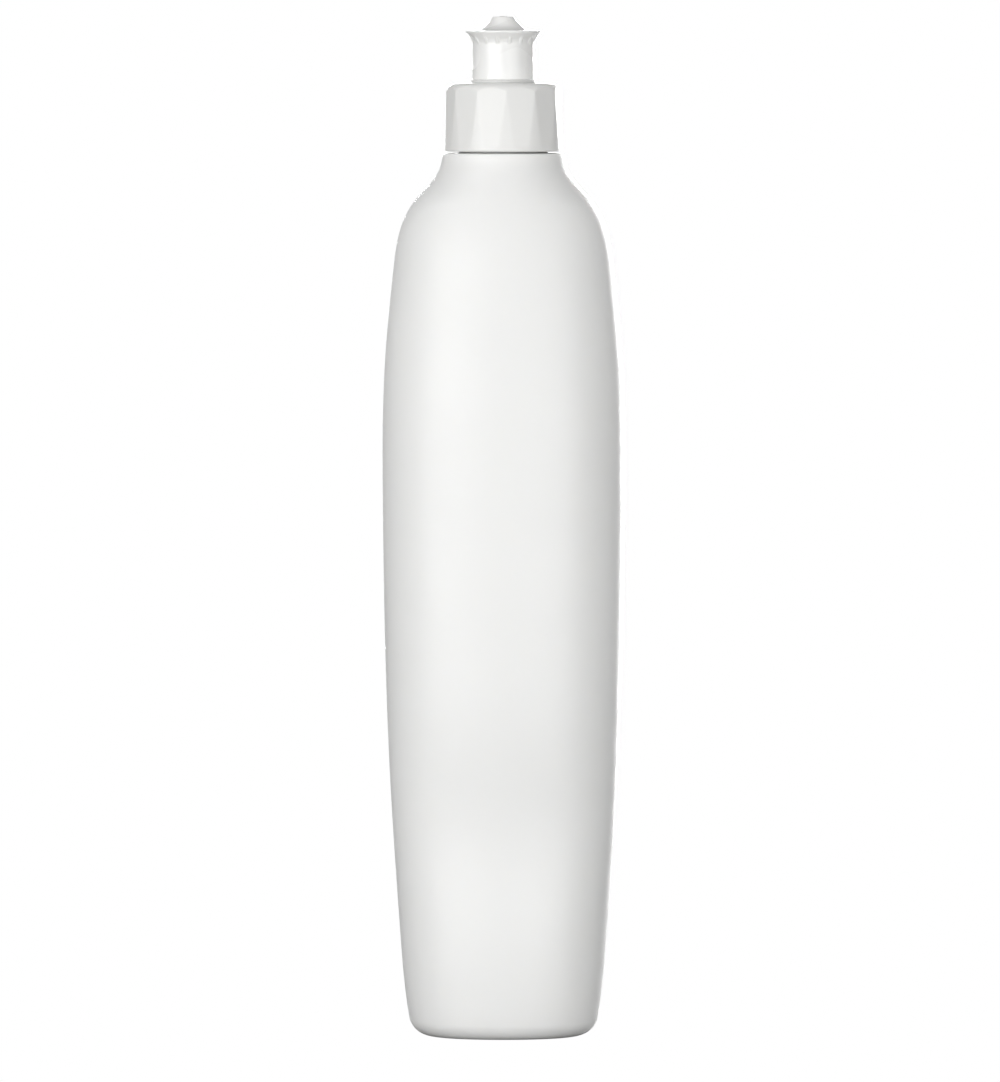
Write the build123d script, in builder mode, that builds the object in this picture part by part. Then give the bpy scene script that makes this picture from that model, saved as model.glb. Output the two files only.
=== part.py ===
from build123d import *
from math import atan, degrees, exp
import os

# A slim, translucent squeeze bottle for dish soap, closed by a screw-on push-pull closure.
# Four pieces: the blow-moulded bottle, the foam ring that seals its mouth, the injection-moulded
# closure with its tower and sealing pin, and the spout that slides up and down on that tower.
# Millimetres. +Z is up, +X is across the wide front and +Y runs from the shown side to the far one.
# The origin is on the resting face, under the middle of the bottle. The spout is shut.

# ---------------------------------------------------------------- bottle: body outline
body_height = 251.3  # resting face to the top of the collar, where the closure's skirt ends
body_width = 68.5  # across the belly
body_depth = 52.0  # front to back at the belly
belly_height = 152.0  # height of the widest section
wall = 0.9
base_wall = 1.3
collar_radius = 17.25  # the round collar just under the closure
collar_round = 1.0
heel_radius = 4.5  # between the side wall and the resting face
waist_height, waist_depth, waist_span = 58.0, 2.2, 24.0  # a hollow across front and back, to grip
foot_flare = 0.26  # how much the side wall leans out at its foot
foot_inset = 8.6  # where the side wall would meet the resting face, in from the belly
heel_height, heel_inset = 11.5, 6.5  # the heel's tuck-in ends here
shin_height, shin_inset = 30.0, 4.85
hip_height, hip_inset = 72.0, 2.1
chest_drop, chest_inset = 58.8, 0.65  # below the collar's top, and in from the belly
shoulder_drop, shoulder_inset = 33.3, 3.0
brow_drop, brow_inset = 19.5, 5.75  # where the shoulder turns in
slope_drop, slope_out = 12.7, 7.25  # on the slope, and how far out from the collar
throat_drop, throat_out = 7.6, 2.65
hollow_drop, hollow_out = 3.3, 0.45  # in the hollow under the collar
belly_fullness = 0.62  # of the oval section, where 0.5523 is an ellipse
round_fullness = 0.5523
section_count = 30

# ---------------------------------------------------------------- bottle: base and neck
ring_width = 3.0  # flat ring that the bottle stands on
push_up = 2.2  # height of the hollow in the base
push_up_slope = 3.6  # width of the hollow's sloping side
pinch_off_length, pinch_off_width, pinch_off_height = 30.0, 0.8, 0.5
neck_height = 17.6
neck_radius = 12.5  # the wall between the thread's turns
neck_wall = 1.7
neck_edge = 0.4

# ---------------------------------------------------------------- thread of neck and closure
pitch = 4.2333  # six turns an inch
thread_depth = 1.2
thread_gap = 0.35  # radial, from each crest to the wall that it faces
thread_play = 0.25  # along the axis, when the closure is tight
ridge_root, ridge_crest = 2.2, 1.0  # width of the neck's ridge
lid_ridge_root, lid_ridge_crest = 1.6, 0.7
neck_turns, lid_turns = 1.5, 1.2
thread_start = 2.2  # mouth to the middle of the first ridge
ridge_sunk = 0.2  # how deep a ridge is rooted in its wall

# ---------------------------------------------------------------- seal liner
liner_thickness = 0.95
liner_play = 0.45  # round the liner, in the closure
liner_hole_radius = 7.4
liner_gap = 0.05  # over the mouth, and under the deck

# ---------------------------------------------------------------- closure: skirt and deck
skirt_gap = 0.5  # collar to skirt
skirt_wall = 2.55  # at its lower edge
skirt_taper = 0.32  # how much less the radius is at the top
skirt_foot_round = 0.5
skirt_lead_in = 0.6
deck_round = 3.0  # between skirt and deck
deck_wall = 1.35
deck_fall = 0.25  # the deck slopes down outwards
facet_count = 12
facet_turn = 18.0  # where the middle of the first facet is
facet_bite_top, facet_bite_foot = 0.55, 0.17  # how deep a facet cuts the skirt
facet_start = 1.0  # plain band under the facets
facet_block = 5.0  # thickness and overrun of the block that cuts a facet

# ---------------------------------------------------------------- closure: tower and pin
pedestal_out, pedestal_height = 0.25, 0.75  # the step that the shut spout stands on
tower_radius, tower_wall = 6.8, 1.2
tower_bead, tower_bead_height, tower_bead_lead = 0.35, 1.05, 0.4
web_count, web_width, web_height = 3, 1.2, 3.2
web_drop = 0.6  # tower's top to the webs' top
pin_radius, pin_tip_radius = 2.0, 1.5
pin_tip_length, pin_cone = 2.4, 0.5
pin_dome = 0.8
pin_proud = 0.15  # how far the pin stands out of the shut spout

# ---------------------------------------------------------------- spout
spout_travel = 5.5  # shut to open
spout_gap = 0.05  # over the pedestal when shut
bore_gap = 0.1  # round the tower's bead
spout_bead_gap = 0.1  # round the tower, and under its bead when open
spout_bead_lift, spout_bead_height = 0.3, 1.0
spout_length = 17.9
spout_wall = 1.63  # at its foot
spout_taper = 0.2
spout_foot_round = 0.2
flare_height, flare_round = 2.24, 2.26
lip_radius = 10.92
lip_edge = 0.5
lip_edge_round = 0.1
lip_drop = 3.65  # spout's top to the lip's upper face
lip_fall = 0.25  # the lip's upper face falls outwards
nozzle_root_radius, nozzle_top_radius = 5.27, 2.95
nozzle_sweep = 6.5  # the hollow curve from lip to nozzle
nozzle_round = 0.3
orifice_gap = 0.1  # round the pin's tip
orifice_length = 1.4
roof_height = 5.0  # the inner cone from bore to orifice
grip_count, grip_width = 16, 0.9
grip_foot, grip_height, grip_reach = 1.05, 2.25, 1.15  # below the flare, long, and out

# ---------------------------------------------------------------- sizes that follow
belly_radius = body_width / 2
neck_bore_radius = neck_radius - neck_wall
neck_crest_radius = neck_radius + thread_depth
neck_top = body_height + neck_height
neck_thread_foot = neck_top - thread_start - pitch * neck_turns
ceiling = neck_top + liner_thickness + 2 * liner_gap
skirt_bore_radius = neck_crest_radius + thread_gap
skirt_radius = skirt_bore_radius + skirt_wall
skirt_top_radius = skirt_radius - skirt_taper
skirt_foot = body_height + skirt_gap
deck_top = ceiling + deck_wall
pedestal_top = deck_top + pedestal_height
passage_radius = tower_radius - tower_wall
tower_bead_radius = tower_radius + tower_bead
spout_foot = pedestal_top + spout_gap
spout_top = spout_foot + spout_length
spout_bore_radius = tower_bead_radius + bore_gap
spout_foot_radius = spout_bore_radius + spout_wall
spout_top_radius = spout_foot_radius - spout_taper
spout_bead_radius = tower_radius + spout_bead_gap
spout_bead_foot = spout_foot + spout_bead_lift
spout_bead_top = spout_bead_foot + spout_bead_height
tower_bead_foot = spout_bead_top + spout_travel + spout_bead_gap
tower_top = tower_bead_foot + tower_bead_height
pin_top = spout_top + pin_proud
orifice_radius = pin_tip_radius + orifice_gap
lip_top = spout_top - lip_drop
flare_foot = lip_top - lip_fall - lip_edge - flare_height


# ---------------------------------------------------------------- bottle
def front_outline():
    """The side of the bottle seen from the front, from the resting face up to the collar's top."""
    with BuildLine(Plane.XZ) as side:
        Spline(
            (belly_radius - foot_inset, 0),
            (belly_radius - heel_inset, heel_height),
            (belly_radius - shin_inset, shin_height),
            (belly_radius - hip_inset, hip_height),
            (belly_radius, belly_height),
            (belly_radius - chest_inset, body_height - chest_drop),
            (belly_radius - shoulder_inset, body_height - shoulder_drop),
            (belly_radius - brow_inset, body_height - brow_drop),
            (collar_radius + slope_out, body_height - slope_drop),
            (collar_radius + throat_out, body_height - throat_drop),
            (collar_radius + hollow_out, body_height - hollow_drop),
            (collar_radius, body_height),
            tangents=[(foot_flare, 1), (0, 1)],
        )
    return side.line


def oval(height, half_width, half_depth, fullness):
    """A closed oval section of four like curves, which is as good as a circle at round_fullness."""
    a, b, k = half_width, half_depth, fullness
    with BuildSketch(Plane.XY.offset(height)) as section:
        with BuildLine():
            Bezier((a, 0), (a, k * b), (k * a, b), (0, b))
            Bezier((0, b), (-k * a, b), (-a, k * b), (-a, 0))
            Bezier((-a, 0), (-a, -k * b), (-k * a, -b), (0, -b))
            Bezier((0, -b), (k * a, -b), (a, -k * b), (a, 0))
        make_face()
    return section.sketch


def body_section(position, inset, lowest=0.0, highest=body_height):
    """The section at a position along the front outline, drawn in by a wall's thickness.

    The depth follows the width from the round collar to the oval belly, and so does the fullness.
    A shallow waist, bell-shaped up and down, hollows the front and the back.
    """
    point, along = outline @ position, outline % position
    lean = along.X / along.Z
    share = (body_depth / 2 - collar_radius) / (belly_radius - collar_radius)
    out = point.X - collar_radius
    half_width = point.X - inset * (1 + lean**2) ** 0.5
    half_depth = collar_radius + share * out - inset * (1 + (share * lean) ** 2) ** 0.5
    half_depth -= waist_depth * exp(-(((point.Z - waist_height) / waist_span) ** 2))
    ovalness = min(1.0, max(0.0, out / (belly_radius - foot_inset - collar_radius)))
    fullness = round_fullness + (belly_fullness - round_fullness) * ovalness
    height = min(max(point.Z, lowest), highest)
    return oval(height, half_width, half_depth, fullness)


outline = front_outline()
positions = [i / section_count for i in range(section_count + 1)]
cavity_top = body_height - collar_round - wall / 2
foot_oval = body_section(0, heel_radius + ring_width).bounding_box().size
hollow_width, hollow_depth = foot_oval.X, foot_oval.Y

with BuildPart() as cavity:
    between = [p for p in positions if base_wall < (outline @ p).Z < cavity_top - wall / 2]
    loft(
        sections=[
            body_section(0, wall, lowest=base_wall),
            *[body_section(p, wall) for p in between],
            body_section(1, wall, highest=cavity_top),
        ]
    )
    fillet(cavity.edges().group_by(Axis.Z)[0], heel_radius - wall)
    fillet(cavity.edges().group_by(Axis.Z)[-1], collar_round)


def base_hollow(grow):
    """The push-up of the base: a flat-topped hollow with sloping sides, grown on all sides."""
    half_width, half_depth = hollow_width / 2, hollow_depth / 2
    top_inset = push_up_slope - grow / 2
    with BuildPart() as hollow:
        loft(
            sections=[
                oval(-grow, half_width + grow, half_depth + grow, belly_fullness),
                oval(push_up + grow, half_width - top_inset, half_depth - top_inset, belly_fullness),
            ]
        )
        split(bisect_by=Plane.XY, keep=Keep.TOP)
    return hollow.part


def thread_ridge(wall_radius, crest_radius, root, crest, turns, foot):
    """A helical ridge whose middle starts at the foot height on +X and climbs anticlockwise."""
    side = 1 if crest_radius > wall_radius else -1
    with BuildPart() as ridge:
        with BuildLine():
            path = Helix(pitch=pitch, height=pitch * turns, radius=wall_radius, center=(0, 0, foot))
        with BuildSketch(Plane.XZ):
            with BuildLine():
                Polyline(
                    (wall_radius - side * ridge_sunk, foot - root / 2),
                    (wall_radius, foot - root / 2),
                    (crest_radius, foot - crest / 2),
                    (crest_radius, foot + crest / 2),
                    (wall_radius, foot + root / 2),
                    (wall_radius - side * ridge_sunk, foot + root / 2),
                    close=True,
                )
            make_face()
        sweep(path=path, is_frenet=True)
    return ridge.part


neck_ridge = thread_ridge(
    neck_radius, neck_crest_radius, ridge_root, ridge_crest, neck_turns, neck_thread_foot
)

with BuildPart() as bottle:
    loft(sections=[body_section(p, 0) for p in positions])
    fillet(bottle.edges().group_by(Axis.Z)[0], heel_radius)
    fillet(bottle.edges().group_by(Axis.Z)[-1], collar_round)
    with BuildSketch(Plane.XY.offset(body_height - wall)):
        Circle(neck_radius)
    extrude(amount=neck_height + wall)
    fillet(bottle.edges().group_by(Axis.Z)[-1], neck_edge)
    add(neck_ridge)
    add(cavity.part, mode=Mode.SUBTRACT)
    with BuildSketch(Plane.XY.offset(cavity_top - wall)):
        Circle(neck_bore_radius)
    extrude(until=Until.LAST, mode=Mode.SUBTRACT)
    add(base_hollow(base_wall))
    add(base_hollow(0), mode=Mode.SUBTRACT)
    with Locations((0, 0, push_up)):
        Box(
            pinch_off_length,
            pinch_off_width,
            pinch_off_height,
            align=(Align.CENTER, Align.CENTER, Align.MAX),
        )
bottle.part.label = "bottle"

# ---------------------------------------------------------------- seal liner
with BuildPart() as seal_liner:
    with BuildSketch(Plane.XY.offset(neck_top + liner_gap)):
        Circle(skirt_bore_radius - liner_play)
        Circle(liner_hole_radius, mode=Mode.SUBTRACT)
    extrude(amount=liner_thickness)
seal_liner.part.label = "seal_liner"

# ---------------------------------------------------------------- closure
# Each corner of a turned profile is its radius, its height and its rounding.
lid_crest_radius = neck_radius + thread_gap
slope_share = thread_gap / thread_depth
neck_half_width = ridge_root / 2 - slope_share * (ridge_root - ridge_crest) / 2
lid_thread_foot = neck_thread_foot - neck_half_width - lid_ridge_crest / 2 - thread_play
web_top = tower_top - web_drop
facet_foot = skirt_foot + facet_start
facet_rise = deck_top - deck_round - facet_foot
facet_lean = (facet_bite_top - facet_bite_foot + skirt_taper) / facet_rise

closure_corners = [
    (skirt_bore_radius + skirt_lead_in, skirt_foot, 0),
    (skirt_radius, skirt_foot, skirt_foot_round),
    (skirt_top_radius, deck_top - deck_fall, deck_round),
    (spout_foot_radius + pedestal_out, deck_top, 0),
    (spout_foot_radius + pedestal_out, pedestal_top, 0),
    (tower_radius, pedestal_top, 0),
    (tower_radius, tower_bead_foot, 0),
    (tower_bead_radius, tower_bead_foot, 0),
    (tower_bead_radius, tower_top - tower_bead_lead, 0),
    (tower_radius, tower_top, 0),
    (passage_radius, tower_top, 0),
    (passage_radius, ceiling, 0),
    (skirt_bore_radius, ceiling, 0),
    (skirt_bore_radius, skirt_foot + skirt_lead_in, 0),
]
pin_corners = [
    (0, web_top - web_height, 0),
    (pin_radius, web_top - web_height, 0),
    (pin_radius, pin_top - pin_tip_length - pin_cone, 0),
    (pin_tip_radius, pin_top - pin_tip_length, 0),
    (pin_tip_radius, pin_top, pin_dome),
    (0, pin_top, 0),
]
lid_ridge = thread_ridge(
    skirt_bore_radius, lid_crest_radius, lid_ridge_root, lid_ridge_crest, lid_turns, lid_thread_foot
)


def turned(corners):
    """A closed profile turned round the axis."""
    with BuildPart() as solid:
        with BuildSketch(Plane.XZ):
            with BuildLine():
                FilletPolyline(
                    *[(radius, height) for radius, height, _ in corners],
                    radius=[rounding for _, _, rounding in corners],
                    close=True,
                )
            make_face()
        revolve(axis=Axis.Z)
    return solid.part


with BuildPart() as closure:
    add(turned(closure_corners))
    with Locations((0, 0, facet_foot)):
        with PolarLocations(skirt_radius - facet_bite_foot, facet_count, facet_turn):
            Box(
                facet_block,
                2 * facet_block,
                deck_top - facet_foot + facet_block,
                rotation=(0, -degrees(atan(facet_lean)), 0),
                align=(Align.MIN, Align.CENTER, Align.MIN),
                mode=Mode.SUBTRACT,
            )
    add(lid_ridge)
    add(turned(pin_corners))
    with Locations((0, 0, web_top)):
        with PolarLocations(0, web_count):
            Box(
                passage_radius + tower_wall / 2,
                web_width,
                web_height,
                align=(Align.MIN, Align.CENTER, Align.MAX),
            )
closure.part.label = "closure"

# ---------------------------------------------------------------- spout
spout_corners = [
    (spout_bore_radius, spout_foot, 0),
    (spout_foot_radius, spout_foot, spout_foot_round),
    (spout_top_radius, flare_foot, flare_round),
    (lip_radius, flare_foot + flare_height, lip_edge_round),
    (lip_radius, lip_top - lip_fall, lip_edge_round),
    (nozzle_root_radius, lip_top, nozzle_sweep),
    (nozzle_top_radius, spout_top, nozzle_round),
    (orifice_radius, spout_top, 0),
    (orifice_radius, spout_top - orifice_length, 0),
    (spout_bore_radius, spout_top - orifice_length - roof_height, 0),
    (spout_bore_radius, spout_bead_top, 0),
    (spout_bead_radius, spout_bead_top, 0),
    (spout_bead_radius, spout_bead_foot, 0),
]

with BuildPart() as grip:
    with BuildSketch(Plane.XZ):
        with BuildLine():
            Polyline(
                (spout_top_radius - spout_wall / 2, flare_foot - grip_foot),
                (spout_top_radius, flare_foot - grip_foot),
                (spout_top_radius + grip_reach, flare_foot - grip_foot + grip_height),
                (spout_top_radius - spout_wall / 2, flare_foot - grip_foot + grip_height),
                close=True,
            )
        make_face()
    extrude(amount=grip_width / 2, both=True)

with BuildPart() as spout:
    add(turned(spout_corners))
    with PolarLocations(0, grip_count, 180 / grip_count):
        add(grip.part)
spout.part.label = "spout"

# ---------------------------------------------------------------- files
os.makedirs("parts", exist_ok=True)
export_step(bottle.part, "parts/bottle.step")
export_step(seal_liner.part, "parts/seal_liner.step")
export_step(closure.part, "parts/closure.step")
export_step(spout.part, "parts/spout.step")
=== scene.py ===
import math
import bpy
import numpy as np
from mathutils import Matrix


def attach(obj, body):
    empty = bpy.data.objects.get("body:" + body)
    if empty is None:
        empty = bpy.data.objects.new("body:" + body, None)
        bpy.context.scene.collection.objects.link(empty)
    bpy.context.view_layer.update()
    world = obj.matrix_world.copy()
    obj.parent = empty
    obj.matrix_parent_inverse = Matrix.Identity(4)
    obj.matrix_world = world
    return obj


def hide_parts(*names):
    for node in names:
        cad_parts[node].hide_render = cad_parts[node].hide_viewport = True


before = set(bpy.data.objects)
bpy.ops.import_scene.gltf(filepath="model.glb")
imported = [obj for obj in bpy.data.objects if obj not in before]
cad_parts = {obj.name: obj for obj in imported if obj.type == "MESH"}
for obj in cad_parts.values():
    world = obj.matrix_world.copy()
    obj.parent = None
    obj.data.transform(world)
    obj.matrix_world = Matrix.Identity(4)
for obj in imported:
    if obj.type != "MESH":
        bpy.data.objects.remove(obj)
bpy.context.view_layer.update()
MM = 0.001


# Bottle: one hollow blow moulding in natural high-density polyethylene, oval below and round at
# the neck, with a grip waist, push-up base, moulded thread and a fine parting line on its sides.
BODY_HEIGHT, BELLY, HALF_DEPTH = 251.3, 34.25, 26.0
COLLAR, COLLAR_ROUND, HEEL, WALL, BASE_WALL = 17.25, 1.0, 4.5, 0.9, 1.3
FOOT_IN, FOOT_FLARE, PUSH_UP, RIM = 8.6, 0.26, 2.2, 3.0
SHOULDER = 205
OUTLINE = np.array(
    [
        (BELLY - FOOT_IN, 0),
        (BELLY - 6.5, 11.5),
        (BELLY - 4.85, 30),
        (BELLY - 2.1, 72),
        (BELLY, 152),
        (BELLY - 0.65, BODY_HEIGHT - 58.8),
        (BELLY - 3, BODY_HEIGHT - 33.3),
        (BELLY - 5.75, BODY_HEIGHT - 19.5),
        (COLLAR + 7.25, BODY_HEIGHT - 12.7),
        (COLLAR + 2.65, BODY_HEIGHT - 7.6),
        (COLLAR + 0.45, BODY_HEIGHT - 3.3),
        (COLLAR, BODY_HEIGHT),
    ],
    float,
)
WAIST_HEIGHT, WAIST_DEPTH, WAIST_SPAN = 58, 2.2, 24
ROUND, OVAL = 0.5523, 0.62
NECK, NECK_BORE, NECK_TOP = 12.5, 10.8, BODY_HEIGHT + 17.6
NECK_ROWS, ROWS_AFTER_NECK = 62, 22
PITCH, THREAD_DEPTH, THREAD_START = 4.2333, 1.2, 2.2
THREAD_TURNS, THREAD_ROOT, THREAD_CREST = 1.5, 2.2, 1.0
THREAD_FOOT = NECK_TOP - THREAD_START - PITCH * THREAD_TURNS
SEAM_HEIGHT, SEAM_START = 0.1, 20


def clamped_spline(points, first, last, samples):
    """Cubic through the points over their chord length, with the slopes given at both ends."""
    u = np.r_[0, np.cumsum(np.hypot(*np.diff(points, axis=0).T))]
    h = np.diff(u)
    n = len(u)
    matrix, right = np.zeros((n, n)), np.zeros((n, 2))
    matrix[0, 0] = matrix[-1, -1] = 1
    right[0], right[-1] = first, last
    steps = np.diff(points, axis=0) / h[:, None]
    for i in range(1, n - 1):
        matrix[i, i - 1 : i + 2] = h[i], 2 * (h[i - 1] + h[i]), h[i - 1]
        right[i] = 3 * (h[i] * steps[i - 1] + h[i - 1] * steps[i])
    slope = np.linalg.solve(matrix, right)
    at = np.linspace(0, u[-1], samples)
    k = np.clip(np.searchsorted(u, at, side="right") - 1, 0, n - 2)
    t = ((at - u[k]) / h[k])[:, None]
    width = h[k][:, None]
    return (
        (2 * t**3 - 3 * t**2 + 1) * points[k]
        + (t**3 - 2 * t**2 + t) * width * slope[k]
        + (3 * t**2 - 2 * t**3) * points[k + 1]
        + (t**3 - t**2) * width * slope[k + 1]
    )


OUT = clamped_spline(OUTLINE, (FOOT_FLARE, 1), (0, 1), 900)


def body_ovals(height, inset):
    """Half width, half depth and fullness of the body at a height, drawn in by an inset."""
    x = np.interp(height, OUT[:, 1], OUT[:, 0])
    lean = np.interp(height, OUT[:, 1], np.gradient(OUT[:, 0], OUT[:, 1]))
    share = (HALF_DEPTH - COLLAR) / (BELLY - COLLAR)
    out = x - COLLAR
    width = x - inset * np.sqrt(1 + lean**2)
    depth = COLLAR + share * out - inset * np.sqrt(1 + (share * lean) ** 2)
    depth -= WAIST_DEPTH * np.exp(-(((height - WAIST_HEIGHT) / WAIST_SPAN) ** 2))
    full = ROUND + (OVAL - ROUND) * np.clip(out / (BELLY - FOOT_IN - COLLAR), 0, 1)
    return width, depth, full


def rows(height, width, depth=None, full=ROUND):
    """Stacks height, half width, half depth and fullness as rows of an oval shell."""
    depth = width if depth is None else depth
    stack = np.stack(np.broadcast_arrays(height, width, depth, full), -1)
    return stack.reshape(-1, 4).astype(float)


def arc(height, radius, size, start, end, count):
    """Rows of round sections on an arc: height + size sin(a), radius + size cos(a), in degrees."""
    a = np.radians(np.linspace(start, end, count))
    return rows(height + size * np.sin(a), radius + size * np.cos(a))


def oval_rings(stack, quarter):
    """Each row becomes a ring of four like cubic curves, read at the quarter's parameters."""
    height, a, b, k = (stack[:, i, None] for i in range(4))
    t = quarter[None, :]
    long = (1 - t) ** 3 + 3 * (1 - t) ** 2 * t + 3 * k * (1 - t) * t**2
    short = t**3 + 3 * t**2 * (1 - t) + 3 * k * t * (1 - t) ** 2
    x = np.concatenate([a * long, -a * short, -a * long, a * short], 1)
    y = np.concatenate([b * short, b * long, -b * short, -b * long], 1)
    return np.stack([x, y, np.broadcast_to(height, x.shape)], -1)


def add_piece(name, parts, body, node):
    """Joins grids of points, in millimetres, into one smooth mesh.

    A part is (points, loop). A loop closes on itself along its rows, and any other part gets a
    point in the middle of its first and last rows.
    """
    verts, faces, base = [], [], 0
    for points, loop in parts:
        count, around = points.shape[:2]
        index = base + np.arange(count * around).reshape(count, around)
        upper = np.roll(index, -1, 0) if loop else index[1:]
        lower = index if loop else index[:-1]
        quads = np.stack([lower, np.roll(lower, -1, 1), np.roll(upper, -1, 1), upper], -1)
        faces += quads.reshape(-1, 4).tolist()
        verts.append(points.reshape(-1, 3))
        base += count * around
        if not loop:
            verts.append(np.array([points[0].mean(0), points[-1].mean(0)]))
            first, last = index[0], index[-1]
            faces += np.stack([np.roll(first, -1), first, np.full(around, base)], -1).tolist()
            faces += np.stack([last, np.roll(last, -1), np.full(around, base + 1)], -1).tolist()
            base += 2
    mesh = bpy.data.meshes.new(name)
    mesh.from_pydata((np.concatenate(verts) * MM).tolist(), [], faces)
    mesh.shade_smooth()
    piece = bpy.data.objects.new(name, mesh)
    bpy.context.scene.collection.objects.link(piece)
    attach(piece, body)
    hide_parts(node)
    return piece


def thread(points, foot, turns, root, crest, depth):
    """Pushes a wall out by a ridge on a helix that climbs anticlockwise from the foot on +X.

    The push is the depth times a trapezoid of the height from the ridge's middle, and it fades
    over the first and last eighth of a turn.
    """
    x, y, z = np.moveaxis(points, -1, 0)
    angle = np.arctan2(y, x) % (2 * np.pi) / (2 * np.pi)
    push = np.zeros_like(x)
    fade_turns = 1 / 8
    for turn in range(int(turns) + 1):
        along = angle + turn
        off = np.abs(z - foot - PITCH * along)
        ridge = np.clip((root / 2 - off) / (root / 2 - crest / 2), 0, 1)
        fade = np.clip(along / fade_turns, 0, 1) * np.clip((turns - along) / fade_turns, 0, 1)
        push = np.maximum(push, ridge * fade)
    radius = np.hypot(x, y)
    return points * np.stack([1 + depth * push / radius] * 2 + [np.ones_like(x)], -1)


heel_a = np.radians(np.linspace(-90, 0, 14)[:-1])
heel_z = HEEL + HEEL * np.sin(heel_a)
heel_w, heel_d, heel_f = body_ovals(heel_z, 0)
heel_in = HEEL - HEEL * np.cos(heel_a)
foot_w, foot_d, _ = body_ovals(np.array([0.0]), HEEL + RIM)
hollow_out = np.array([-3.9, -3.4, -0.3, 0])
side_z = np.r_[
    np.linspace(HEEL, SHOULDER, 70)[:-1],
    np.linspace(SHOULDER, BODY_HEIGHT - COLLAR_ROUND, 52),
]
outside = np.concatenate(
    [
        rows(PUSH_UP, np.array([0.5, 6, 12]), np.array([0.4, 4, 8]), OVAL),
        rows([PUSH_UP, PUSH_UP - 0.08, 0.1, 0], foot_w + hollow_out, foot_d + hollow_out, OVAL),
        rows(0, foot_w + RIM / 2, foot_d + RIM / 2, OVAL),
        rows(heel_z, heel_w - heel_in, heel_d - heel_in, heel_f),
        rows(side_z, *body_ovals(side_z, 0)),
        arc(BODY_HEIGHT - COLLAR_ROUND, COLLAR - COLLAR_ROUND, COLLAR_ROUND, 10, 90, 7),
        rows(BODY_HEIGHT, np.array([15.0, 13.4])),
        arc(BODY_HEIGHT + 0.5, NECK + 0.5, 0.5, -90, -180, 4),
        rows(np.linspace(BODY_HEIGHT + 0.9, NECK_TOP - 0.6, NECK_ROWS), NECK),
        arc(NECK_TOP - 0.4, NECK - 0.4, 0.4, 0, 90, 5),
        arc(NECK_TOP - 0.3, NECK_BORE + 0.3, 0.3, 90, 180, 4),
        rows(np.linspace(NECK_TOP - 1.5, BODY_HEIGHT + 1, 8), NECK_BORE),
        arc(BODY_HEIGHT - 0.35, NECK_BORE + 1.1, 1.1, 180, 270, 5),
    ]
)
in_z = np.linspace(BODY_HEIGHT - 2.9, BASE_WALL + HEEL - WALL, 90)
in_heel = np.radians(np.linspace(0, -90, 10)[1:])
in_hz = BASE_WALL + (HEEL - WALL) * (1 + np.sin(in_heel))
in_w, in_d, in_f = body_ovals(in_hz, WALL)
in_off = (HEEL - WALL) * (1 - np.cos(in_heel))
dome_out = np.array([1.3, 0.8, -2.6, -3.3])
dome_top = PUSH_UP + BASE_WALL
inside = np.concatenate(
    [
        arc(BODY_HEIGHT - 2.45, COLLAR - WALL - 1, 1, 80, 10, 5),
        rows(in_z, *body_ovals(in_z, WALL)),
        rows(in_hz, in_w - in_off, in_d - in_off, in_f),
        rows(
            [BASE_WALL, BASE_WALL + 0.2, dome_top - 0.1, dome_top],
            foot_w + dome_out,
            foot_d + dome_out,
            OVAL,
        ),
        rows(dome_top, np.array([12, 6, 0.5]), np.array([8, 4, 0.4]), OVAL),
    ]
)
# The columns stand close together at the sides, where the parting line is one column wide.
quarter = np.r_[0, 0.0075, 0.02, np.linspace(0.05, 0.95, 50), 0.98]
shell = oval_rings(np.concatenate([outside, inside]), quarter)
neck_end = len(outside) - ROWS_AFTER_NECK
neck_rows = slice(neck_end - NECK_ROWS, neck_end)
shell[neck_rows] = thread(
    shell[neck_rows], THREAD_FOOT, THREAD_TURNS, THREAD_ROOT, THREAD_CREST, THREAD_DEPTH
)
seam_rows = slice(SEAM_START, SEAM_START + len(side_z))
for column in (0, 2 * len(quarter)):
    shell[seam_rows, column, 0] += SEAM_HEIGHT * np.sign(shell[seam_rows, column, 0])
pinch_rows = rows(
    PUSH_UP + np.array([0.1, -0.3, -0.48, -0.5]),
    np.array([15, 14.9, 14.6, 14.4]),
    np.array([0.45, 0.4, 0.25, 0.1]),
    0.8,
)
pinch_off = oval_rings(pinch_rows, np.linspace(0, 1, 9)[:-1])
bottle = add_piece(
    "bottle_shell",
    [(shell[:, ::-1], False), (pinch_off[:, ::-1], False)],
    "bottle",
    "bottle",
)


def linear(hex_colour):
    """An sRGB hex colour as linear light."""
    c = np.array([int(hex_colour[i : i + 2], 16) / 255 for i in (1, 3, 5)])
    return (*np.where(c <= 0.04045, c / 12.92, ((c + 0.055) / 1.055) ** 2.4), 1)


def add_node(owner, kind, settings=None, **links):
    """Adds a node to a material or a world, and sets or links its properties and inputs."""
    node = owner.node_tree.nodes.new(kind)
    for key, value in (settings or {}).items():
        if key in node.inputs:
            node.inputs[key].default_value = value
        else:
            setattr(node, key, value)
    for key, output in links.items():
        owner.node_tree.links.new(output, node.inputs[key])
    return node


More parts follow.
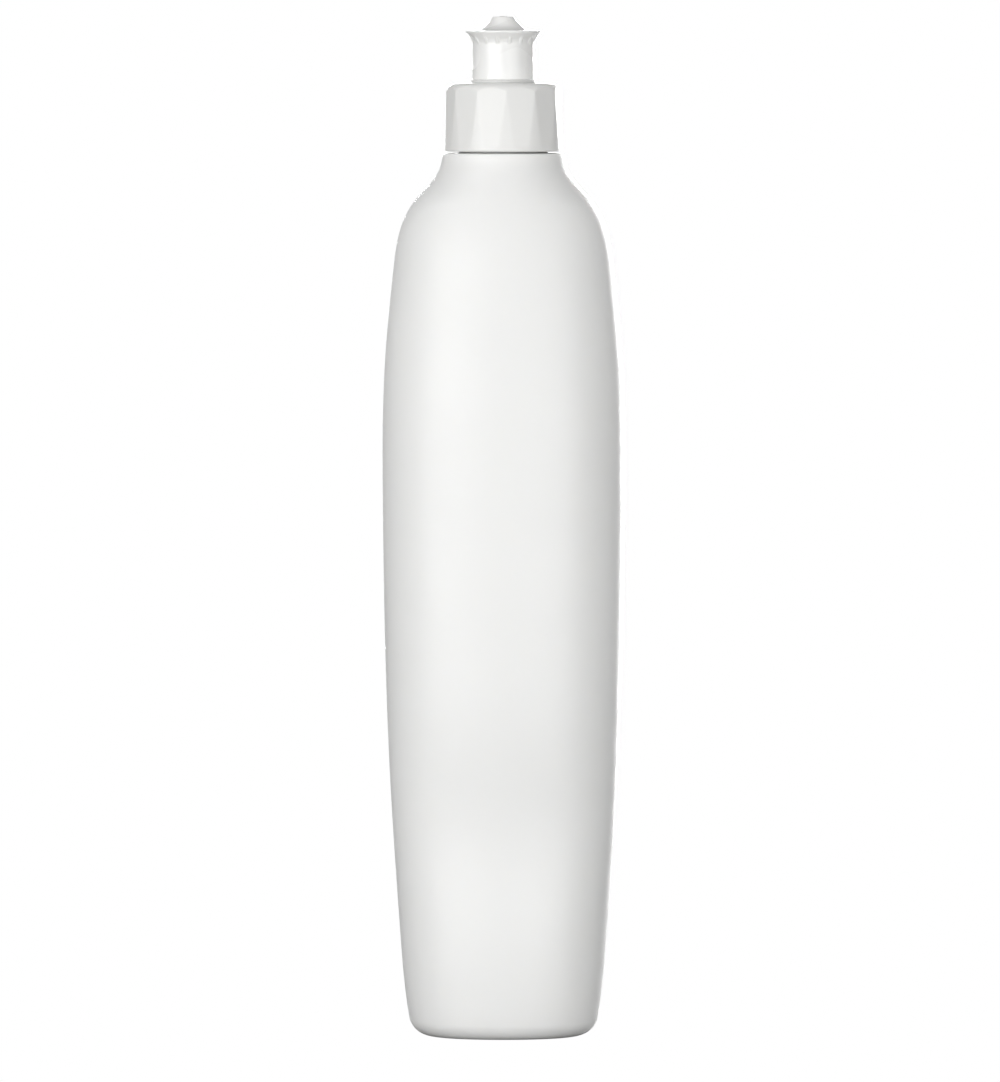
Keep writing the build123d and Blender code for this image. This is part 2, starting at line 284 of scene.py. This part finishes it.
def moulded(name, colour, rough, glow, radius, grain, grain_depth, mottle):
    """A milky moulded plastic: light spreads inside it, and fine texture breaks up its gloss.

    Its texture is a mould's fine grit at a real size, and a slow ripple of the wall, both as
    bump, with a faint mottle of the gloss.
    """
    material = bpy.data.materials.new(name)
    material.use_nodes = True
    tree = material.node_tree
    shader = tree.nodes["Principled BSDF"]
    place = add_node(material, "ShaderNodeTexCoord").outputs["Object"]
    ripple_size, ripple_depth = 22, 0.12
    grit = add_node(
        material, "ShaderNodeTexNoise", {"Scale": 1 / (grain * MM), "Detail": 3.0}, Vector=place
    )
    ripple = add_node(
        material,
        "ShaderNodeTexNoise",
        {"Scale": 1 / (ripple_size * MM), "Detail": 1.0},
        Vector=place,
    )
    low = add_node(
        material,
        "ShaderNodeBump",
        {"Strength": 1.0, "Distance": ripple_depth * MM},
        Height=ripple.outputs["Fac"],
    )
    fine = add_node(
        material,
        "ShaderNodeBump",
        {"Strength": 1.0, "Distance": grain_depth * MM},
        Height=grit.outputs["Fac"],
        Normal=low.outputs["Normal"],
    )
    gloss = add_node(
        material,
        "ShaderNodeMapRange",
        {"From Min": 0.3, "From Max": 0.7, "To Min": rough - mottle, "To Max": rough + mottle},
        Value=ripple.outputs["Fac"],
    )
    shader.inputs["Base Color"].default_value = linear(colour)
    shader.inputs["IOR"].default_value = 1.52
    shader.inputs["Subsurface Weight"].default_value = glow
    shader.inputs["Subsurface Radius"].default_value = (1.0, 0.98, 0.93)
    shader.inputs["Subsurface Scale"].default_value = radius * MM
    tree.links.new(gloss.outputs["Result"], shader.inputs["Roughness"])
    tree.links.new(fine.outputs["Normal"], shader.inputs["Normal"])
    return material


# Natural HDPE, blown in a grit-blasted mould: milky and satin, with soft broad highlights.
bottle.data.materials.append(
    moulded("natural_hdpe_blown", "#F6F6F3", 0.4, 0.5, 2.0, 0.5, 0.004, 0.03)
)


# Closure: one injection moulding in white polypropylene, screwed on the neck. It has twelve soft
# facets on its skirt, a deck and pedestal, and inside the spout a tower with a webbed sealing pin.
CEILING, DECK = 269.95, 271.3
SKIRT_FOOT, SKIRT, SKIRT_TOP, SKIRT_BORE, LEAD_IN = 251.8, 16.6, 16.28, 14.05, 0.6
DECK_ROUND, DECK_FALL = 3.0, 0.25
PEDESTAL, PEDESTAL_TOP = 9.13, 272.05
TOWER, PASSAGE, BEAD, BEAD_FOOT, TOWER_TOP = 6.8, 5.6, 7.15, 279.0, 280.05
FACETS, FACET_TURN, FACET_FOOT, BITE_FOOT, BITE_TOP = 12, 18, 252.8, 0.17, 0.55
LID_TURNS, LID_ROOT, LID_CREST, LID_BELOW = 1.2, 1.6, 0.7, 1.525
PIN, PIN_TIP, PIN_DOME, PIN_TOP = 2.0, 1.5, 0.8, 290.15
WEB_TOP, WEB_HEIGHT, WEB_OUT = 279.45, 3.2, 3.9


def rounded_profile(corners, spacing):
    """Points along a closed line of corners (radius, height, rounding), each turned by an arc."""
    corners = np.array(corners, float)
    points = []
    for i in range(len(corners)):
        here, size = corners[i, :2], max(corners[i, 2], 0.06)
        back = corners[i - 1, :2] - here
        ahead = corners[(i + 1) % len(corners), :2] - here
        back, ahead = back / np.hypot(*back), ahead / np.hypot(*ahead)
        half = np.arccos(np.clip(back @ ahead, -1, 1)) / 2
        reach = size / math.tan(half)
        middle = back + ahead
        centre = here + middle / np.hypot(*middle) * size / math.sin(half)
        start, end = here + back * reach - centre, here + ahead * reach - centre
        steps = max(3, int((math.pi - 2 * half) * size / spacing) + 2)
        turn = math.atan2(start[0] * end[1] - start[1] * end[0], start @ end)
        a = np.linspace(0, turn, steps)
        across = [-start[1], start[0]]
        points.append(centre + np.outer(np.cos(a), start) + np.outer(np.sin(a), across))
    line = []
    for i, stretch in enumerate(points):
        following = points[(i + 1) % len(points)][0]
        count = max(1, int(np.hypot(*(following - stretch[-1])) / (spacing * 3)))
        gap = np.linspace(0, 1, count + 1)[1:-1, None]
        line += [stretch, stretch[-1] + gap * (following - stretch[-1])]
    return np.concatenate(line)


def turned(profile, around):
    """Rings of a profile of (radius, height) about +Z."""
    a = np.linspace(0, 2 * np.pi, around, endpoint=False)
    radius, height = profile[:, :1], profile[:, 1:]
    return np.stack([radius * np.cos(a), radius * np.sin(a), height + 0 * a], -1)


def rescaled(points, radius):
    """The same rings with new distances from the axis."""
    factor = radius / np.hypot(points[..., 0], points[..., 1])
    return points * np.stack([factor, factor, np.ones_like(factor)], -1)


skirt_profile = rounded_profile(
    [
        (SKIRT_BORE + LEAD_IN, SKIRT_FOOT, 0.1),
        (SKIRT, SKIRT_FOOT, 0.5),
        (SKIRT_TOP, DECK - DECK_FALL, DECK_ROUND),
        (PEDESTAL, DECK, 0.25),
        (PEDESTAL, PEDESTAL_TOP, 0.15),
        (TOWER, PEDESTAL_TOP, 0.15),
        (TOWER, BEAD_FOOT, 0.05),
        (BEAD, BEAD_FOOT, 0.05),
        (BEAD, TOWER_TOP - 0.4, 0.1),
        (TOWER, TOWER_TOP, 0.1),
        (PASSAGE, TOWER_TOP, 0.2),
        (PASSAGE, CEILING, 0.2),
        (SKIRT_BORE, CEILING, 0.3),
        (SKIRT_BORE, SKIRT_FOOT + LEAD_IN, 0.1),
    ],
    0.17,
)
skirt = turned(skirt_profile, 360)
distance = np.hypot(skirt[..., 0], skirt[..., 1])
angle = np.degrees(np.arctan2(skirt[..., 1], skirt[..., 0]))
from_middle = (angle - FACET_TURN + 180 / FACETS) % (360 / FACETS) - 180 / FACETS
facet_lean = (BITE_TOP - BITE_FOOT + SKIRT - SKIRT_TOP) / (DECK - DECK_ROUND - FACET_FOOT)
apothem = SKIRT - BITE_FOOT - facet_lean * (skirt[..., 2] - FACET_FOOT)
plane = apothem / np.cos(np.radians(from_middle))
foot_fade = np.clip(skirt[..., 2] - FACET_FOOT + 0.5, 0, 1)
over = np.clip(distance - plane, 0, None) * foot_fade
softness = 0.08
over = np.sqrt(over**2 + softness**2) - softness
outer_rows = distance > SKIRT_BORE + 0.5
skirt = rescaled(skirt, distance - over * outer_rows)
bore_rows = np.flatnonzero(np.abs(skirt_profile[:, 0] - SKIRT_BORE) < 0.01)
skirt[bore_rows] = thread(
    skirt[bore_rows], THREAD_FOOT - LID_BELOW, LID_TURNS, LID_ROOT, LID_CREST, -THREAD_DEPTH
)
pin_line = [
    (PIN - 1.4, WEB_TOP - WEB_HEIGHT),
    (PIN - 0.2, WEB_TOP - WEB_HEIGHT + 0.1),
    (PIN, WEB_TOP - WEB_HEIGHT + 0.4),
    (PIN, 284),
    (PIN, PIN_TOP - 2.9),
    (PIN_TIP, PIN_TOP - 2.4),
    (PIN_TIP, PIN_TOP - PIN_DOME),
]
for a in np.linspace(0.2, 1.5, 8):
    out, up = PIN_DOME * (math.cos(a) - 1), PIN_DOME * (math.sin(a) - 1)
    pin_line.append((PIN_TIP + out, PIN_TOP + up))
pin_line.append((0.3, PIN_TOP))
pin = turned(np.array(pin_line), 48)
web_rows = rows(
    WEB_TOP - np.array([WEB_HEIGHT, WEB_HEIGHT - 0.2, 0.2, 0]),
    np.array([2.0, 2.15, 2.15, 2.0]),
    np.array([0.45, 0.6, 0.6, 0.45]),
    0.95,
)
x, y, z = np.moveaxis(oval_rings(web_rows, np.linspace(0, 1, 7)[:-1]) + [WEB_OUT, 0, 0], -1, 0)
webs = []
for turn in np.radians([0, 120, 240]):
    cos, sin = math.cos(turn), math.sin(turn)
    webs.append((np.stack([x * cos - y * sin, x * sin + y * cos, z], -1), False))
closure = add_piece(
    "closure_moulding", [(skirt, True), (pin, False), *webs], "closure", "closure"
)
# White polypropylene from a lightly textured mould: opaque and satin.
closure.data.materials.append(
    moulded("white_pp_moulded", "#E9E9E7", 0.36, 0.35, 1.2, 0.35, 0.003, 0.03)
)


# Spout: one injection moulding in white polyethylene that slides on the closure's tower. Its lip
# is thin, with sixteen small grips in the hollow under it, and the pin's end shows in its orifice.
SPOUT_FOOT, SPOUT_TOP, SPOUT_BORE = 272.1, 290.0, 7.25
BARREL_FOOT, BARREL_TOP, LIP = 8.88, 8.68, 10.92
LIP_TOP, FLARE_FOOT, FLARE_HEIGHT = 286.35, 283.36, 2.24
NOZZLE_ROOT, NOZZLE_SWEEP, NOZZLE, ORIFICE = 5.27, 6.5, 2.95, 1.6
SNAP, SNAP_FOOT, SNAP_TOP = 6.9, 272.4, 273.4
GRIPS, GRIP_WIDTH, GRIP_FOOT, GRIP_RISE, GRIP_REACH = 16, 0.9, 282.31, 2.25, 1.15
spout_profile = rounded_profile(
    [
        (SPOUT_BORE, SPOUT_FOOT, 0.1),
        (BARREL_FOOT, SPOUT_FOOT, 0.2),
        (BARREL_TOP, FLARE_FOOT, 2.26),
        (LIP, FLARE_FOOT + FLARE_HEIGHT, 0.12),
        (LIP, LIP_TOP - 0.25, 0.12),
        (NOZZLE_ROOT, LIP_TOP, NOZZLE_SWEEP),
        (NOZZLE, SPOUT_TOP, 0.3),
        (ORIFICE, SPOUT_TOP, 0.1),
        (ORIFICE, SPOUT_TOP - 1.4, 0.1),
        (SPOUT_BORE, SPOUT_TOP - 6.4, 0.3),
        (SPOUT_BORE, SNAP_TOP, 0.05),
        (SNAP, SNAP_TOP, 0.05),
        (SNAP, SNAP_FOOT, 0.05),
    ],
    0.12,
)
barrel = turned(spout_profile, 384)
distance = np.hypot(barrel[..., 0], barrel[..., 1])
angle = np.degrees(np.arctan2(barrel[..., 1], barrel[..., 0]))
from_grip = np.radians((angle % (360 / GRIPS)) - 180 / GRIPS) * distance
grip_blend = 0.24
rib = np.clip((GRIP_WIDTH / 2 + grip_blend / 2 - np.abs(from_grip)) / grip_blend, 0, 1)
rise = barrel[..., 2] - GRIP_FOOT
under_lip = (rise > 0) & (rise < GRIP_RISE) & (distance > BARREL_TOP - 0.18)
grip_line = BARREL_TOP + GRIP_REACH * rise / GRIP_RISE
lift = np.clip(grip_line - distance, 0, None) * rib * rib * (3 - 2 * rib)
barrel = rescaled(barrel, distance + lift * under_lip)
spout = add_piece("pull_spout", [(barrel, True)], "spout", "spout")
# White polyethylene from a polished mould: a little softer and glossier than the closure.
spout.data.materials.append(
    moulded("white_pe_moulded", "#F2F2F0", 0.28, 0.4, 1.5, 0.35, 0.002, 0.03)
)


# Seal liner: a die-cut ring of white polyethylene foam, pressed into the closure's ceiling. It
# shows only when the closure is off, so it keeps its CAD form and gets a closed-cell finish.
foam = bpy.data.materials.new("pe_foam_die_cut")
foam.use_nodes = True
foam_shader = foam.node_tree.nodes["Principled BSDF"]
foam_place = add_node(foam, "ShaderNodeTexCoord").outputs["Object"]
cells = add_node(foam, "ShaderNodeTexVoronoi", {"Scale": 1 / (0.4 * MM)}, Vector=foam_place)
cell_bump = add_node(
    foam,
    "ShaderNodeBump",
    {"Strength": 1.0, "Distance": 0.05 * MM},
    Height=cells.outputs["Distance"],
)
foam_shader.inputs["Base Color"].default_value = linear("#E8E7E2")
foam_shader.inputs["Roughness"].default_value = 0.8
foam.node_tree.links.new(cell_bump.outputs["Normal"], foam_shader.inputs["Normal"])
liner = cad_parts["seal_liner"]
liner.data.materials.clear()
liner.data.materials.append(foam)


# Stage: a white floor and a white world, a long lens a little above the bottle's middle, and soft
# panels with gaps between them, whose broad reflections give the satin wall its lobes and bands.
def white_to_camera(owner, shader, output, seen_kind):
    """Shows plain white to the camera, and the given shader to every other ray."""
    path = add_node(owner, "ShaderNodeLightPath")
    seen = add_node(owner, seen_kind, {"Color": (1, 1, 1, 1), "Strength": 1.0})
    mix = add_node(owner, "ShaderNodeMixShader", Fac=path.outputs["Is Camera Ray"])
    links = owner.node_tree.links
    links.new(shader.outputs[0], mix.inputs[1])
    links.new(seen.outputs[0], mix.inputs[2])
    links.new(mix.outputs[0], owner.node_tree.nodes[output].inputs["Surface"])


world = bpy.data.worlds.new("studio")
bpy.context.scene.world = world
world.use_nodes = True
ambient = world.node_tree.nodes["Background"]
ambient.inputs["Color"].default_value = (1, 1, 1, 1)
ambient.inputs["Strength"].default_value = 0.43
white_to_camera(world, ambient, "World Output", "ShaderNodeBackground")

FLOOR = 3.0
floor_mesh = bpy.data.meshes.new("studio_floor")
floor_mesh.from_pydata(
    [(-FLOOR, -FLOOR, 0), (FLOOR, -FLOOR, 0), (FLOOR, FLOOR, 0), (-FLOOR, FLOOR, 0)],
    [],
    [(0, 1, 2, 3)],
)
floor = bpy.data.objects.new("studio_floor", floor_mesh)
bpy.context.scene.collection.objects.link(floor)
floor_white = bpy.data.materials.new("white_acrylic_floor")
floor_white.use_nodes = True
floor_shader = floor_white.node_tree.nodes["Principled BSDF"]
floor_shader.inputs["Base Color"].default_value = linear("#7A7A7A")
floor_shader.inputs["Roughness"].default_value = 0.6
white_to_camera(floor_white, floor_shader, "Material Output", "ShaderNodeEmission")
floor.data.materials.append(floor_white)


def panel(name, azimuth, elevation, distance, width, height, power, aim=0.15):
    """A soft panel at an azimuth from the front, to the right if positive, facing the bottle."""
    light = bpy.data.lights.new(name, "AREA")
    light.shape = "RECTANGLE"
    light.size, light.size_y = width, height
    light.energy = power
    lamp = bpy.data.objects.new(name, light)
    a, e = math.radians(azimuth), math.radians(elevation)
    lamp.location = (
        distance * math.sin(a) * math.cos(e),
        -distance * math.cos(a) * math.cos(e),
        aim + distance * math.sin(e),
    )
    lamp.rotation_euler = (math.pi / 2 - e, 0, a)
    bpy.context.scene.collection.objects.link(lamp)


panel("key", -34, 5, 1.6, 1.5, 0.6, 15, 0.06)
panel("fill", 27, 0, 1.4, 1.2, 0.3, 10, 0.04)
panel("top", -50, 50, 1.2, 0.5, 0.5, 1.3, 0.2)
panel("back", 170, 4, 1.5, 1.0, 0.8, 50, 0.08)

camera_data = bpy.data.cameras.new("camera")
camera = bpy.data.objects.new("camera", camera_data)
bpy.context.scene.collection.objects.link(camera)
bpy.context.scene.camera = camera
ELEVATION, DISTANCE = math.radians(2.75), 3.0
LOOK, SENSOR, VIEW_HEIGHT = (-0.0010, 0, 0.1409), 36, 0.3081
camera.location = (
    LOOK[0],
    -DISTANCE * math.cos(ELEVATION),
    LOOK[2] + DISTANCE * math.sin(ELEVATION),
)
camera.rotation_euler = (math.pi / 2 - ELEVATION, 0, 0)
camera_data.sensor_fit = "VERTICAL"
camera_data.sensor_height = SENSOR
camera_data.lens = SENSOR * DISTANCE / VIEW_HEIGHT
camera_data.clip_end = 20
bpy.context.scene.view_settings.view_transform = "Standard"
